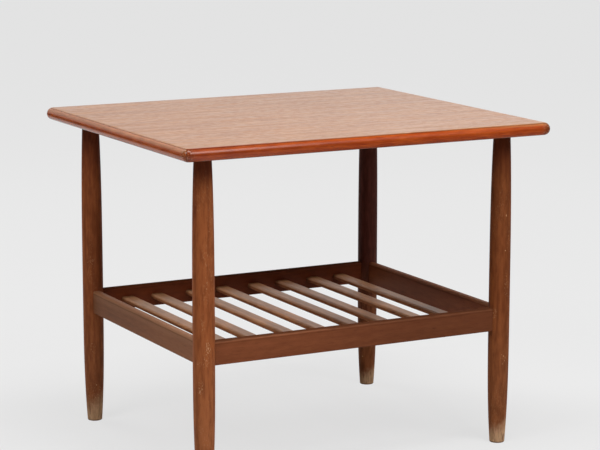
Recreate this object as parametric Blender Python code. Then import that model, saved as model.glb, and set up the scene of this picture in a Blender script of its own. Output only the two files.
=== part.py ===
"""Occasional table with a slatted shelf.

A veneered top with a bullnosed, mitred lipping stands on four turned legs. Four rails, dowelled
between the legs, carry a shelf of slats with stub tenons.

Metres, +Z up. The origin is on the floor under the middle of the top, +X runs along the long side
and the front is at -Y.
"""

import math

import bmesh
import bpy
from mathutils import Matrix, Vector

# Gap between pieces that touch, and the glue line between glued ones
CLEARANCE = 0.0003

# Table top
TABLE_HEIGHT = 0.500
TOP_LENGTH = 0.607
TOP_WIDTH = 0.520
TOP_THICKNESS = 0.019
TOP_CORNER_RADIUS = 0.0105
VENEER_THICKNESS = 0.0008
LIPPING_WIDTH = 0.014
NOSE_LAND = 0.0004
CORNER_SEGMENTS = 5
NOSE_SEGMENTS = 6

# Legs, set in from the edges of the top to their axes
LEG_INSET_X = 0.0535
LEG_INSET_Y = 0.05625
LEG_BELLY_RADIUS = 0.0161
LEG_BELLY_HEIGHT = 0.190
LEG_HEAD_RADIUS = 0.0127
LEG_HEAD_POWER = 4
LEG_FOOT_RADIUS = 0.0114
LEG_FOOT_POWER = 3
FOOT_RIM_RADIUS = 0.0016
SPIGOT_RADIUS = 0.0075
SPIGOT_LENGTH = 0.011
SPIGOT_CHAMFER = 0.001
LEG_SIDES = 28
LEG_RINGS = 16
RIM_SEGMENTS = 3

# Shelf rails
RAIL_TOP = 0.213
RAIL_HEIGHT = 0.036
RAIL_THICKNESS = 0.012
RAIL_TOP_ROUND = 0.0035
RAIL_BOTTOM_ROUND = 0.0015
RAIL_ROUND_SEGMENTS = 3

# Rail dowels
DOWEL_RADIUS = 0.003
DOWEL_LENGTH = 0.026
DOWEL_DEPTH_IN_LEG = 0.012
DOWEL_EDGE_DISTANCE = 0.006
DOWEL_CHAMFER = 0.0008
DOWEL_SIDES = 12

# Slats. They were spaced by hand, so each one drifts a little from its even place between the
# side rails.
SLAT_TOP = 0.197
SLAT_WIDTH = 0.022
SLAT_THICKNESS = 0.008
SLAT_ROUND = 0.0037
SLAT_ROUND_SEGMENTS = 3
SLAT_END_INSET = 0.05255
SLAT_DRIFT = (-0.001, -0.005, 0.0015, 0.001, 0.004, 0.0005, 0.004, -0.001)
TENON_SHOULDER = 0.002
TENON_LENGTH = 0.007

# Edges that bend less than this are shaded as one round surface
SMOOTH_ANGLE = math.radians(32)

# Places that follow from the sizes
UNDERSIDE = TABLE_HEIGHT - TOP_THICKNESS
LEG_SHOULDER = UNDERSIDE - CLEARANCE
LEG_X = TOP_LENGTH / 2 - LEG_INSET_X
LEG_Y = TOP_WIDTH / 2 - LEG_INSET_Y
RAIL_MIDDLE = RAIL_TOP - RAIL_HEIGHT / 2
SLAT_MIDDLE = SLAT_TOP - SLAT_THICKNESS / 2
SLAT_LENGTH = 2 * LEG_Y - RAIL_THICKNESS - 2 * CLEARANCE
SLAT_REACH = LEG_X - RAIL_THICKNESS / 2 - SLAT_END_INSET
DOWEL_STEP = (RAIL_HEIGHT - 2 * DOWEL_EDGE_DISTANCE) / 3

SIDES_X = {"left": -1, "right": 1}
SIDES_Y = {"front": -1, "back": 1}
OUTWARD = {
    "front": Vector((0, -1, 0)),
    "right": Vector((1, 0, 0)),
    "back": Vector((0, 1, 0)),
    "left": Vector((-1, 0, 0)),
}


# Scene helpers

def clear_scene():
    for item in list(bpy.data.objects):
        bpy.data.objects.remove(item, do_unlink=True)


def wood(name, colour, roughness):
    finish = bpy.data.materials.new(name)
    finish.use_nodes = True
    surface = finish.node_tree.nodes["Principled BSDF"]
    surface.inputs["Base Color"].default_value = (*colour, 1.0)
    surface.inputs["Roughness"].default_value = roughness
    surface.inputs["Metallic"].default_value = 0.0
    return finish


def to_mesh(name, shape, finish=None):
    bmesh.ops.recalc_face_normals(shape, faces=shape.faces)
    mesh = bpy.data.meshes.new(name)
    shape.to_mesh(mesh)
    shape.free()
    if finish:
        mesh.materials.append(finish)
    mesh.shade_smooth()
    mesh.set_sharp_from_angle(angle=SMOOTH_ANGLE)
    return mesh


def place(name, mesh, parent, location=(0, 0, 0), turn=0.0):
    item = bpy.data.objects.new(name, mesh)
    item.location = location
    item.rotation_euler = (0, 0, turn)
    item.parent = parent
    bpy.context.scene.collection.objects.link(item)
    return item


def place_cutter(group, mesh, location=(0, 0, 0), turn=0.0):
    item = bpy.data.objects.new(mesh.name, mesh)
    item.location = location
    item.rotation_euler = (0, 0, turn)
    item.hide_render = True
    item.display_type = "WIRE"
    group.objects.link(item)


def new_group(name):
    group = bpy.data.collections.new(name)
    bpy.context.scene.collection.children.link(group)
    return group


def cut(item, group):
    """Take every cutter of a group out of a piece."""
    boolean = item.modifiers.new(group.name, "BOOLEAN")
    boolean.operation = "DIFFERENCE"
    boolean.solver = "EXACT"
    boolean.operand_type = "COLLECTION"
    boolean.collection = group


# Shared shapes

def edges_along(shape, axis, test):
    """Edges that run along an axis and whose middle passes a test."""
    chosen = []
    for edge in shape.edges:
        span = edge.verts[1].co - edge.verts[0].co
        middle = (edge.verts[1].co + edge.verts[0].co) / 2
        if abs(span[axis]) > 0.5 * span.length and test(middle):
            chosen.append(edge)
    return chosen


def round_edges(shape, edges, radius, segments):
    bmesh.ops.bevel(shape, geom=edges, offset=radius, offset_type="OFFSET", segments=segments,
                    profile=0.5, affect="EDGES", material=-1)


def box(length_x, length_y, length_z):
    shape = bmesh.new()
    bmesh.ops.create_cube(shape, size=1.0)
    bmesh.ops.scale(shape, vec=(length_x, length_y, length_z), verts=shape.verts)
    return shape


def bar(width, length, height, top_round, bottom_round, segments):
    """A bar along Y, centred on the origin, with its four long edges rounded."""
    shape = box(width, length, height)
    round_edges(shape, edges_along(shape, 1, lambda middle: middle.z > 0), top_round, segments)
    round_edges(shape, edges_along(shape, 1, lambda middle: middle.z < 0), bottom_round, segments)
    return shape


def rod(radius, length, sides):
    """A plain cylinder along Z, centred on the origin."""
    shape = bmesh.new()
    bmesh.ops.create_cone(shape, cap_ends=True, segments=sides, radius1=radius, radius2=radius,
                          depth=length)
    return shape


def along_y(shape):
    bmesh.ops.rotate(shape, verts=shape.verts, matrix=Matrix.Rotation(math.pi / 2, 3, "X"))
    return shape


def turned(profile):
    """Turn a profile of (radius, height) points, listed from top to bottom, about Z."""
    shape = bmesh.new()
    points = [shape.verts.new((radius, 0, height)) for radius, height in profile]
    edges = [shape.edges.new(pair) for pair in zip(points, points[1:])]
    bmesh.ops.spin(shape, geom=points + edges, cent=(0, 0, 0), axis=(0, 0, 1), dvec=(0, 0, 0),
                   angle=math.tau, steps=LEG_SIDES, use_merge=True, use_duplicate=False)
    bmesh.ops.remove_doubles(shape, verts=shape.verts, dist=0.00001)
    return shape


# Table top: every piece is split off one bullnosed blank

def bullnosed_blank():
    shape = box(TOP_LENGTH, TOP_WIDTH, TOP_THICKNESS)
    round_edges(shape, edges_along(shape, 2, lambda middle: True), TOP_CORNER_RADIUS, CORNER_SEGMENTS)
    rims = [edge for edge in shape.edges if edge.verts[0].co.z * edge.verts[1].co.z > 0]
    round_edges(shape, rims, (TOP_THICKNESS - NOSE_LAND) / 2, NOSE_SEGMENTS)
    bmesh.ops.translate(shape, verts=shape.verts, vec=(0, 0, UNDERSIDE + TOP_THICKNESS / 2))
    return shape


def split(shape, point, inward):
    """Saw through the blank at a plane, keep the inward side and close the sawn face."""
    sawn = bmesh.ops.bisect_plane(shape, geom=shape.verts[:] + shape.edges[:] + shape.faces[:],
                                  dist=0.000001, plane_co=point, plane_no=-inward, clear_outer=True)
    rim = [part for part in sawn["geom_cut"] if isinstance(part, bmesh.types.BMEdge)]
    bmesh.ops.edgeloop_fill(shape, edges=rim)


def half_size(outward):
    return TOP_LENGTH / 2 if outward.x else TOP_WIDTH / 2


def between_veneers(shape):
    depth = VENEER_THICKNESS + CLEARANCE
    split(shape, Vector((0, 0, TABLE_HEIGHT - depth)), Vector((0, 0, -1)))
    split(shape, Vector((0, 0, UNDERSIDE + depth)), Vector((0, 0, 1)))


def lipping(side):
    """One edge lipping: an inner face and a mitre at each end, half a glue line back."""
    outward = OUTWARD[side]
    shape = bullnosed_blank()
    between_veneers(shape)
    split(shape, outward * (half_size(outward) - LIPPING_WIDTH), outward)
    for neighbour in OUTWARD.values():
        if neighbour.dot(outward) == 0:
            mitre = (outward - neighbour).normalized()
            corner = outward * half_size(outward) + neighbour * half_size(neighbour)
            split(shape, corner + mitre * CLEARANCE / 2, mitre)
    return shape


def core():
    shape = bullnosed_blank()
    between_veneers(shape)
    for outward in OUTWARD.values():
        split(shape, outward * (half_size(outward) - LIPPING_WIDTH - CLEARANCE), -outward)
    return shape


def face_veneer():
    shape = bullnosed_blank()
    split(shape, Vector((0, 0, TABLE_HEIGHT - VENEER_THICKNESS)), Vector((0, 0, 1)))
    return shape


def balancing_veneer():
    shape = bullnosed_blank()
    split(shape, Vector((0, 0, UNDERSIDE + VENEER_THICKNESS)), Vector((0, 0, -1)))
    return shape


def build_top(table, finishes):
    bores = new_group("spigot_bores")
    bore_length = 2 * (SPIGOT_LENGTH + CLEARANCE)
    bore = to_mesh("spigot_bore", rod(SPIGOT_RADIUS + CLEARANCE, bore_length, LEG_SIDES))
    for side_x in SIDES_X.values():
        for side_y in SIDES_Y.values():
            place_cutter(bores, bore, (side_x * LEG_X, side_y * LEG_Y, LEG_SHOULDER))
    cut(place("top_core", to_mesh("top_core", core(), finishes["core"]), table), bores)
    under = to_mesh("under_veneer", balancing_veneer(), finishes["under_veneer"])
    cut(place("under_veneer", under, table), bores)
    place("top_veneer", to_mesh("top_veneer", face_veneer(), finishes["top_veneer"]), table)
    for side in OUTWARD:
        name = f"lipping_{side}"
        place(name, to_mesh(name, lipping(side), finishes["lipping"]), table)


# Legs

def leg_radius(height):
    """Radius of the turned leg: fullest at the belly and drawn in towards head and foot."""
    if height > LEG_BELLY_HEIGHT:
        rise = (height - LEG_BELLY_HEIGHT) / (LEG_SHOULDER - LEG_BELLY_HEIGHT)
        return LEG_BELLY_RADIUS - (LEG_BELLY_RADIUS - LEG_HEAD_RADIUS) * rise ** LEG_HEAD_POWER
    fall = (LEG_BELLY_HEIGHT - height) / LEG_BELLY_HEIGHT
    return LEG_BELLY_RADIUS - (LEG_BELLY_RADIUS - LEG_FOOT_RADIUS) * fall ** LEG_FOOT_POWER


def shaft_heights():
    """Ring heights from shoulder to foot rim, closer together towards both ends."""
    middle = (LEG_SHOULDER + FOOT_RIM_RADIUS) / 2
    reach = (LEG_SHOULDER - FOOT_RIM_RADIUS) / 2
    return [middle + reach * math.cos(math.pi * ring / LEG_RINGS) for ring in range(LEG_RINGS + 1)]


def leg_profile():
    spigot_top = LEG_SHOULDER + SPIGOT_LENGTH
    spigot = [
        (0, spigot_top),
        (SPIGOT_RADIUS - SPIGOT_CHAMFER, spigot_top),
        (SPIGOT_RADIUS, spigot_top - SPIGOT_CHAMFER),
        (SPIGOT_RADIUS, LEG_SHOULDER),
    ]
    shaft = [(leg_radius(height), height) for height in shaft_heights()]
    rim_centre = leg_radius(FOOT_RIM_RADIUS) - FOOT_RIM_RADIUS
    rim = []
    for step in range(1, RIM_SEGMENTS + 1):
        angle = math.pi / 2 * step / RIM_SEGMENTS
        rim.append((rim_centre + FOOT_RIM_RADIUS * math.cos(angle),
                    FOOT_RIM_RADIUS - FOOT_RIM_RADIUS * math.sin(angle)))
    return spigot + shaft + rim + [(0, 0)]


def envelope_profile():
    """The leg's shaft and the gap round it, which the rail ends are coped to."""
    heights = shaft_heights()
    shaft = [(leg_radius(height) + CLEARANCE, height) for height in heights]
    return [(0, heights[0])] + shaft + [(0, heights[-1])]


def build_legs(table, finish, dowel_bores):
    mesh = to_mesh("leg", turned(leg_profile()), finish)
    for name_y, side_y in SIDES_Y.items():
        for name_x, side_x in SIDES_X.items():
            leg = place(f"leg_{name_y}_{name_x}", mesh, table, (side_x * LEG_X, side_y * LEG_Y, 0))
            cut(leg, dowel_bores)


# Shelf

def joint_places():
    """Each rail joint: rail name, end name, leg axis, the way the rail runs, its dowel heights."""
    bottom = RAIL_TOP - RAIL_HEIGHT + DOWEL_EDGE_DISTANCE
    for name_y, side_y in SIDES_Y.items():
        for name_x, side_x in SIDES_X.items():
            axis = Vector((side_x * LEG_X, side_y * LEG_Y, 0))
            yield name_y, name_x, axis, Vector((-side_x, 0, 0)), (bottom, bottom + 2 * DOWEL_STEP)
            yield (name_x, name_y, axis, Vector((0, -side_y, 0)),
                   (bottom + DOWEL_STEP, bottom + 3 * DOWEL_STEP))


def build_dowels(table, finish, bores):
    pin = along_y(rod(DOWEL_RADIUS, DOWEL_LENGTH, DOWEL_SIDES))
    ends = [edge for edge in pin.edges if edge.verts[0].co.y * edge.verts[1].co.y > 0]
    round_edges(pin, ends, DOWEL_CHAMFER, 1)
    pin_mesh = to_mesh("dowel", pin, finish)
    bore = along_y(rod(DOWEL_RADIUS + CLEARANCE, DOWEL_LENGTH + 2 * CLEARANCE, DOWEL_SIDES))
    bore_mesh = to_mesh("dowel_bore", bore)
    reach = LEG_BELLY_RADIUS - DOWEL_DEPTH_IN_LEG + DOWEL_LENGTH / 2
    for rail, end, axis, run, heights in joint_places():
        turn = math.pi / 2 if run.x else 0.0
        for level, height in zip(("low", "high"), heights):
            middle = axis + run * reach + Vector((0, 0, height))
            place(f"dowel_{rail}_{end}_{level}", pin_mesh, table, middle, turn)
            place_cutter(bores, bore_mesh, middle, turn)


def slat_places():
    pitch = 2 * SLAT_REACH / (len(SLAT_DRIFT) - 1)
    return [pitch * index - SLAT_REACH + drift for index, drift in enumerate(SLAT_DRIFT)]


def rail_bar(span):
    return bar(RAIL_THICKNESS, span, RAIL_HEIGHT, RAIL_TOP_ROUND, RAIL_BOTTOM_ROUND,
               RAIL_ROUND_SEGMENTS)


def build_rails(table, finish, dowel_bores, mortises):
    envelopes = new_group("leg_envelopes")
    envelope = to_mesh("leg_envelope", turned(envelope_profile()))
    for side_x in SIDES_X.values():
        for side_y in SIDES_Y.values():
            place_cutter(envelopes, envelope, (side_x * LEG_X, side_y * LEG_Y, 0))
    long_mesh = to_mesh("long_rail", rail_bar(2 * LEG_X), finish)
    short_mesh = to_mesh("short_rail", rail_bar(2 * LEG_Y), finish)
    for name, side in SIDES_Y.items():
        rail = place(f"rail_{name}", long_mesh, table, (0, side * LEG_Y, RAIL_MIDDLE), math.pi / 2)
        cut(rail, envelopes)
        cut(rail, dowel_bores)
        cut(rail, mortises)
    for name, side in SIDES_X.items():
        rail = place(f"rail_{name}", short_mesh, table, (side * LEG_X, 0, RAIL_MIDDLE))
        cut(rail, envelopes)
        cut(rail, dowel_bores)


def slat():
    """A slat along Y with a stub tenon drawn out of each end, inside an even shoulder."""
    shape = bar(SLAT_WIDTH, SLAT_LENGTH, SLAT_THICKNESS, SLAT_ROUND, SLAT_ROUND, SLAT_ROUND_SEGMENTS)
    shape.normal_update()
    for way in (-1, 1):
        end = max(shape.faces, key=lambda face: way * face.calc_center_median().y)
        bmesh.ops.inset_region(shape, faces=[end], thickness=TENON_SHOULDER, use_even_offset=True)
        tenon = bmesh.ops.extrude_discrete_faces(shape, faces=[end])["faces"][0]
        bmesh.ops.translate(shape, verts=tenon.verts, vec=(0, way * TENON_LENGTH, 0))
    return shape


def build_slats(table, finish, mortises):
    mesh = to_mesh("slat", slat(), finish)
    margin = TENON_SHOULDER - CLEARANCE
    pocket = bar(SLAT_WIDTH - 2 * margin, 2 * (TENON_LENGTH + CLEARANCE), SLAT_THICKNESS - 2 * margin,
                 SLAT_ROUND - margin, SLAT_ROUND - margin, SLAT_ROUND_SEGMENTS)
    pocket_mesh = to_mesh("mortise", pocket)
    for number, middle in enumerate(slat_places(), start=1):
        place(f"slat_{number}", mesh, table, (middle, 0, SLAT_MIDDLE))
        for way in (-1, 1):
            place_cutter(mortises, pocket_mesh, (middle, way * SLAT_LENGTH / 2, SLAT_MIDDLE))


def build_table():
    clear_scene()
    finishes = {
        "core": wood("core board", (0.46, 0.33, 0.20), 0.8),
        "top_veneer": wood("top veneer", (0.47, 0.25, 0.14), 0.35),
        "under_veneer": wood("under veneer", (0.30, 0.15, 0.08), 0.6),
        "lipping": wood("lipping", (0.34, 0.11, 0.04), 0.35),
        "leg": wood("turned leg", (0.23, 0.085, 0.035), 0.45),
        "rail": wood("shelf rail", (0.19, 0.075, 0.035), 0.5),
        "slat": wood("shelf slat", (0.26, 0.145, 0.09), 0.55),
        "dowel": wood("dowel", (0.52, 0.36, 0.21), 0.7),
    }
    table = bpy.data.objects.new("table", None)
    bpy.context.scene.collection.objects.link(table)
    dowel_bores = new_group("dowel_bores")
    mortises = new_group("mortises")
    build_top(table, finishes)
    build_dowels(table, finishes["dowel"], dowel_bores)
    build_legs(table, finishes["leg"], dowel_bores)
    build_slats(table, finishes["slat"], mortises)
    build_rails(table, finishes["rail"], dowel_bores, mortises)


build_table()
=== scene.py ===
# Teak coffee table with a slatted shelf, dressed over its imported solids
import math
from typing import NamedTuple

import bmesh
import bpy
from mathutils import Matrix, Vector


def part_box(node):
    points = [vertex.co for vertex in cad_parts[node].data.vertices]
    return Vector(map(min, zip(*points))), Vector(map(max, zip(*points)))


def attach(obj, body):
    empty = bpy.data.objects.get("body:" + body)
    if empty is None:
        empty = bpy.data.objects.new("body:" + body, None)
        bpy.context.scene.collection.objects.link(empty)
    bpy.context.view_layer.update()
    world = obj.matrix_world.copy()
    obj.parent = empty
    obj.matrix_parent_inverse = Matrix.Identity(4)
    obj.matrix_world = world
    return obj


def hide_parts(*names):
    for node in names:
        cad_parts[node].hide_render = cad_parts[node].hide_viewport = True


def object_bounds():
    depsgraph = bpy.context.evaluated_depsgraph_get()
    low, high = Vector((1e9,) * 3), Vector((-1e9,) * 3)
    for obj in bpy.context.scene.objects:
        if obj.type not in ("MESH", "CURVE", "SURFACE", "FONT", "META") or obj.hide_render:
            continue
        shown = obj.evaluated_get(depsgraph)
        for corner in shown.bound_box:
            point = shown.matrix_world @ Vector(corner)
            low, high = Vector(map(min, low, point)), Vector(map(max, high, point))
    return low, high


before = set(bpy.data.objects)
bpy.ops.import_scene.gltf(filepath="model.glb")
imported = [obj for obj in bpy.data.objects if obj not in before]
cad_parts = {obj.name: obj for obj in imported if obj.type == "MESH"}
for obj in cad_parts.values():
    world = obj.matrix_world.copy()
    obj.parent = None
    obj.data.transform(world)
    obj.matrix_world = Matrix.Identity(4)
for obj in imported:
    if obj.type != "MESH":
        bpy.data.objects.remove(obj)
solid_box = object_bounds()

# Gap between pieces that touch, and the glue line between glued ones
GLUE_LINE = 0.0003

# Table top
TOP_LOW = Vector((solid_box[0].x, solid_box[0].y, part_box("under_veneer")[0].z))
TOP_HIGH = Vector(solid_box[1])
TOP_MIDDLE = (TOP_LOW + TOP_HIGH) / 2
TOP_CORNER = 0.0105
TOP_CORNER_STEPS = 10
NOSE_LAND = 0.0004
NOSE_RADIUS = (TOP_HIGH.z - TOP_LOW.z - NOSE_LAND) / 2
NOSE_STEPS = 14
VENEER = 0.0008
LIPPING_WIDTH = 0.014

# Oil on the face veneer, thin in its dry flecks and lines, with their number to the metre
OIL_IN_MARKS = 0.17
OIL_BETWEEN_MARKS = 0.57
DRY_MARKS_ACROSS = 180
DRY_FLECKS_ALONG = 80
DRY_LINES_ALONG = 5
DRY_FROM = 1.15
DRY_TO = 0.85

# Stain on the veneer's edges, and dark lines along the glue and the mitres
SEAM_WIDTH = 0.0007
SEAM_STAIN = 0.6
STAIN_FADES_FROM = -0.3
STAIN_FADES_TO = 0.22
END_STAIN = 0.45
END_STAIN_FROM = 0.003
MITRE_LINE = 0.0011
MITRE_STAIN = 0.75


class EdgeWear(NamedTuple):
    """How light a lipping is towards the left end of the top, how much lighter it is painted along
    its lower edge as light from the floor, how much varnish it keeps at the left, how deep its
    upper edge is worn pale, and how much that shows at the left and at the right."""
    left_tone: float
    floor_light_tone: float
    varnish: float
    worn_depth: float
    worn_left: float
    worn_right: float


LONG_EDGE_WEAR = EdgeWear(
    left_tone=0.8, floor_light_tone=1.4, varnish=0.48, worn_depth=0.0034, worn_left=0.0, worn_right=0.8)
SHORT_EDGE_WEAR = EdgeWear(
    left_tone=1.0, floor_light_tone=1.25, varnish=0.0, worn_depth=0.0058, worn_left=1.0, worn_right=1.0)
LEFT_TONE_FROM = 0.1
# Painted floor light on the lippings' lower edges begins and is full at these depths below the top
FLOOR_LIGHT_EDGE_FROM = 0.009
FLOOR_LIGHT_EDGE_TO = 0.013
VARNISH_FROM = 0.0
VARNISH_ROUGHNESS = 0.16
KNOCKED_CORNER = 0.021
LEFT_CORNER_SHARE = 0.6
CORNER_GRIME = 0.65
CORNER_NICKS = 0.9
WORN_EDGE_FROM = 0.1
WORN_EDGE_TO = 0.28
WORN_EDGE_RAGGED = 0.0014
WORN_EDGE_RAGS_ACROSS = 240
WORN_EDGE_RAGS_ALONG = 24
WORN_EDGE_SOFTNESS = 0.12

# Turned legs
LEGS = ("leg_front_left", "leg_front_right", "leg_back_left", "leg_back_right")
LEG_SHOULDER = TOP_LOW.z - GLUE_LINE
LEG_BELLY_RADIUS = 0.0161
LEG_BELLY_HEIGHT = 0.190
LEG_HEAD_RADIUS = 0.0127
LEG_HEAD_POWER = 4
LEG_FOOT_RADIUS = 0.0114
LEG_FOOT_POWER = 3
LEG_SIDES = 72
LEG_RINGS = 40
FOOT_RIM = 0.0016
FOOT_RIM_STEPS = 6
SPIGOT_RADIUS = 0.0075
SPIGOT_CHAMFER = 0.001


class LegWear(NamedTuple):
    """How light a leg is, how light it is painted towards the foot as light from the floor, how much
    it shines, where painted shade under the top begins towards its head, how high its foot is
    bared, how much its faint scratches show, and its marks: streaks of painted shade, scratched
    patches and chips. Each mark has its height, the way it faces in degrees from the front, and its
    length, and a scratched patch also has its strength."""
    tone: float
    floor_light_tone: float
    shine: float
    shade_from: float
    bared_to: float
    shade_streaks: tuple
    faint_scratches: float
    scratches: tuple
    chips: tuple


LEG_WEAR = {
    "leg_front_left": LegWear(
        tone=0.95,
        floor_light_tone=1.06,
        shine=0.09,
        shade_from=0.425,
        bared_to=0.042,
        shade_streaks=((0.42, -88, 0.075),),
        faint_scratches=0.28,
        scratches=((0.34, -15, 0.03, 0.3), (0.29, -12, 0.03, 0.4), (0.24, -30, 0.02, 0.35),
                   (0.205, -2, 0.017, 1.0), (0.188, -15, 0.014, 0.8), (0.183, -50, 0.008, 0.5),
                   (0.148, -46, 0.016, 0.9), (0.085, -45, 0.01, 0.45)),
        chips=((0.143, -47, 0.003), (0.206, -3, 0.003)),
    ),
    "leg_front_right": LegWear(
        tone=0.7,
        floor_light_tone=0.82,
        shine=0.06,
        shade_from=0.402,
        bared_to=0.043,
        shade_streaks=(),
        faint_scratches=0.2,
        scratches=((0.205, -60, 0.012, 0.5), (0.135, -5, 0.014, 0.7), (0.25, 8, 0.03, 0.35)),
        chips=((0.357, 0, 0.0022), (0.303, -3, 0.0014), (0.21, -80, 0.002)),
    ),
    "leg_back_left": LegWear(
        tone=0.93,
        floor_light_tone=0.93,
        shine=0.1,
        shade_from=0.36,
        bared_to=0.052,
        shade_streaks=(),
        faint_scratches=0.24,
        scratches=((0.262, -28, 0.012, 0.5), (0.12, -30, 0.016, 0.4), (0.05, 8, 0.009, 0.7),
                   (0.038, -4, 0.012, 0.9), (0.026, -28, 0.01, 0.8), (0.02, 4, 0.012, 0.9)),
        chips=((0.06, -10, 0.0014),),
    ),
    "leg_back_right": LegWear(
        tone=1.0,
        floor_light_tone=0.86,
        shine=0.08,
        shade_from=0.36,
        bared_to=0.036,
        shade_streaks=(),
        faint_scratches=0.08,
        scratches=((0.09, -28, 0.012, 0.4),),
        chips=((0.05, -60, 0.0014),),
    ),
}
# Painted shade under the top darkens every leg from its own height up to this one
HEAD_SHADE_TO = 0.47
# Painted floor light on the legs begins and is full at these heights
FLOOR_LIGHT_FROM = 0.24
FLOOR_LIGHT_TO = 0.07
FOOT_BARED_FROM = 0.011
FOOT_BARED_LEAN = 0.6
FOOT_RAGGED = 0.02
FOOT_RAGS_ACROSS = 220
FOOT_RAGS_ALONG = 150
FOOT_CRACKS = 0.75
CRACKS_ACROSS = 420
CRACKS_ALONG = 28
CRACK_FROM = 0.57
CRACK_TO = 0.68
# The foot's rim darkens with grime and painted contact shade where it meets the floor
FOOT_RIM_GRIME_AND_SHADE = 0.6
RIM_GRIME_AND_SHADE_FROM = 2 * FOOT_RIM
RIM_GRIME_AND_SHADE_TO = FOOT_RIM / 2
# Streaks of painted shade on a leg's side under the top: their width and how much they show
SHADE_STREAK_WIDTH = 0.012
SHADE_STREAK_SHARE = 0.6
FAINT_PATCHES_ACROSS = 34
FAINT_PATCHES_ALONG = 11
FAINT_PATCH_FROM = 0.5
FAINT_PATCH_TO = 0.66
SCRATCHED_WIDTH = 0.006
CHIP_WIDTH = 0.0011
CHIP_SHARE = 0.85
CUT_DULLNESS = 2

# Nicks in the legs and in the top's corners
NICKS_ACROSS = 900
NICKS_ALONG = 300
NICK_FROM = 0.56
NICK_TO = 0.66

# Shelf rails
LONG_RAILS = ("rail_front", "rail_back")
SHORT_RAILS = ("rail_left", "rail_right")
RAIL_TOP_ROUND = 0.0035
RAIL_BOTTOM_ROUND = 0.0015
RAIL_ROUND_STEPS = 7


class RailWear(NamedTuple):
    """How light a rail is at its near and far end, how much its upper edge is worn pale and painted
    as a highlight, how much its upper band is worn pale, how dark its top is painted as shade under
    the table top, how dark the line below its edge is, and how much it shines."""
    near_tone: float
    far_tone: float
    edge: float
    band: float
    top: float
    line: float
    shine: float


RAIL_WEAR = {
    "rail_front": RailWear(
        near_tone=1.08, far_tone=0.71, edge=0.18, band=0.0, top=0.8, line=0.3, shine=0.25),
    "rail_back": RailWear(
        near_tone=0.95, far_tone=0.8, edge=0.0, band=0.0, top=0.8, line=0.2, shine=0.2),
    "rail_left": RailWear(
        near_tone=1.35, far_tone=1.1, edge=0.7, band=0.22, top=0.0, line=0.3, shine=0.42),
    "rail_right": RailWear(
        near_tone=1.55, far_tone=1.05, edge=0.5, band=0.0, top=0.0, line=0.3, shine=0.3),
}
NEAR_TONE_TO = 0.8
FAR_TONE_FROM = 0.6
RAIL_RAGGED = 0.003
RAIL_RAGS_ACROSS = 240
RAIL_RAGS_ALONG = 30
WORN_BAND = 0.016
# The upper edge is worn pale and partly painted as a highlight, between these depths
RUBBED_LIT_EDGE_FROM = 1.1 * RAIL_TOP_ROUND
RUBBED_LIT_EDGE_TO = 0.7 * RAIL_TOP_ROUND
EDGE_KEPT_FAR = 0.4
# The rail's top is painted dark as shade under the table top, between these depths
TOP_SHADE_FROM = 0.8 * RAIL_TOP_ROUND
TOP_SHADE_TO = 0.1 * RAIL_TOP_ROUND
# A dark line below the rail's upper edge: its depth, its width and its full core
DARK_LINE_DEPTH = 0.0048
DARK_LINE_WIDTH = 0.0014
DARK_LINE_CORE = 0.3 * DARK_LINE_WIDTH

# Slats, from left to right
SLAT_COUNT = 8
SLATS = tuple(f"slat_{number + 1}" for number in range(SLAT_COUNT))
SLAT_ROUND = 0.0037
SLAT_ROUND_STEPS = 7
# The slats are painted lighter towards their back ends, as light under the table top, between these
# places
SLAT_BACK_LIGHT_FROM = -0.1
SLAT_BACK_LIGHT_TO = 0.15
SLAT_FRONT_FROM = -0.055
SLAT_FRONT_TO = -0.105
SLAT_FRONT_TONE = 0.66
SLAT_TONES = (1.1, 1.15, 1.25, 1.42, 1.05, 1.15, 1.45, 1.0)
# How light each slat's back end is painted, as light under the table top
SLAT_BACK_LIGHT_TONES = (0.9, 0.87, 0.97, 1.25, 1.2, 1.22, 1.25, 1.25)
SLAT_SIDE_FROM = 0.0012
SLAT_SIDE_TO = 0.0036
# How dark each slat's sides are; on the left slats they are painted darker as the left rail's shade
SLAT_SIDE_SHADE_TONES = (0.62, 0.8, 0.95, 1.0, 1.0, 1.0, 1.0, 1.0)
# Slat ends darken with grime and painted shade where they meet the rails, over this length
SLAT_END_GRIME_AND_SHADE = 0.62
SLAT_END_SHADE_REACH = 0.018
SLAT_SHEEN = 1.0
SLAT_SHEEN_ROUGHNESS = 0.42
TENON_SHOULDER = 0.002
TENON_LENGTH = 0.007

# Edges that bend less than this are shaded as one round surface
SMOOTH_ANGLE = math.radians(32)

# What counts as along an axis, on a plane, at one point and facing one way, and a bevel's round shape
ALONG_SHARE = 0.5
PLANE_TOLERANCE = 0.000001
WELD_DISTANCE = 0.00001
FACING_SHARE = 0.99
ROUND_PROFILE = 0.5

X, Y, Z = 0, 1, 2
OUTWARD = {
    "front": Vector((0, -1, 0)),
    "right": Vector((1, 0, 0)),
    "back": Vector((0, 1, 0)),
    "left": Vector((-1, 0, 0)),
}


# Shapes that several pieces share

def block(low, high):
    """A plain block between two corners."""
    shape = bmesh.new()
    bmesh.ops.create_cube(shape, size=1.0)
    bmesh.ops.scale(shape, vec=high - low, verts=shape.verts)
    bmesh.ops.translate(shape, vec=(low + high) / 2, verts=shape.verts)
    return shape


def edges_along(shape, axis, test):
    """Edges that run along an axis and whose middle passes a test."""
    chosen = []
    for edge in shape.edges:
        span = edge.verts[1].co - edge.verts[0].co
        middle = (edge.verts[1].co + edge.verts[0].co) / 2
        if abs(span[axis]) > ALONG_SHARE * span.length and test(middle):
            chosen.append(edge)
    return chosen


def round_edges(shape, edges, radius, steps):
    bmesh.ops.bevel(shape, geom=edges, offset=radius, offset_type="OFFSET", segments=steps,
                    profile=ROUND_PROFILE, affect="EDGES", material=-1)


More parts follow.
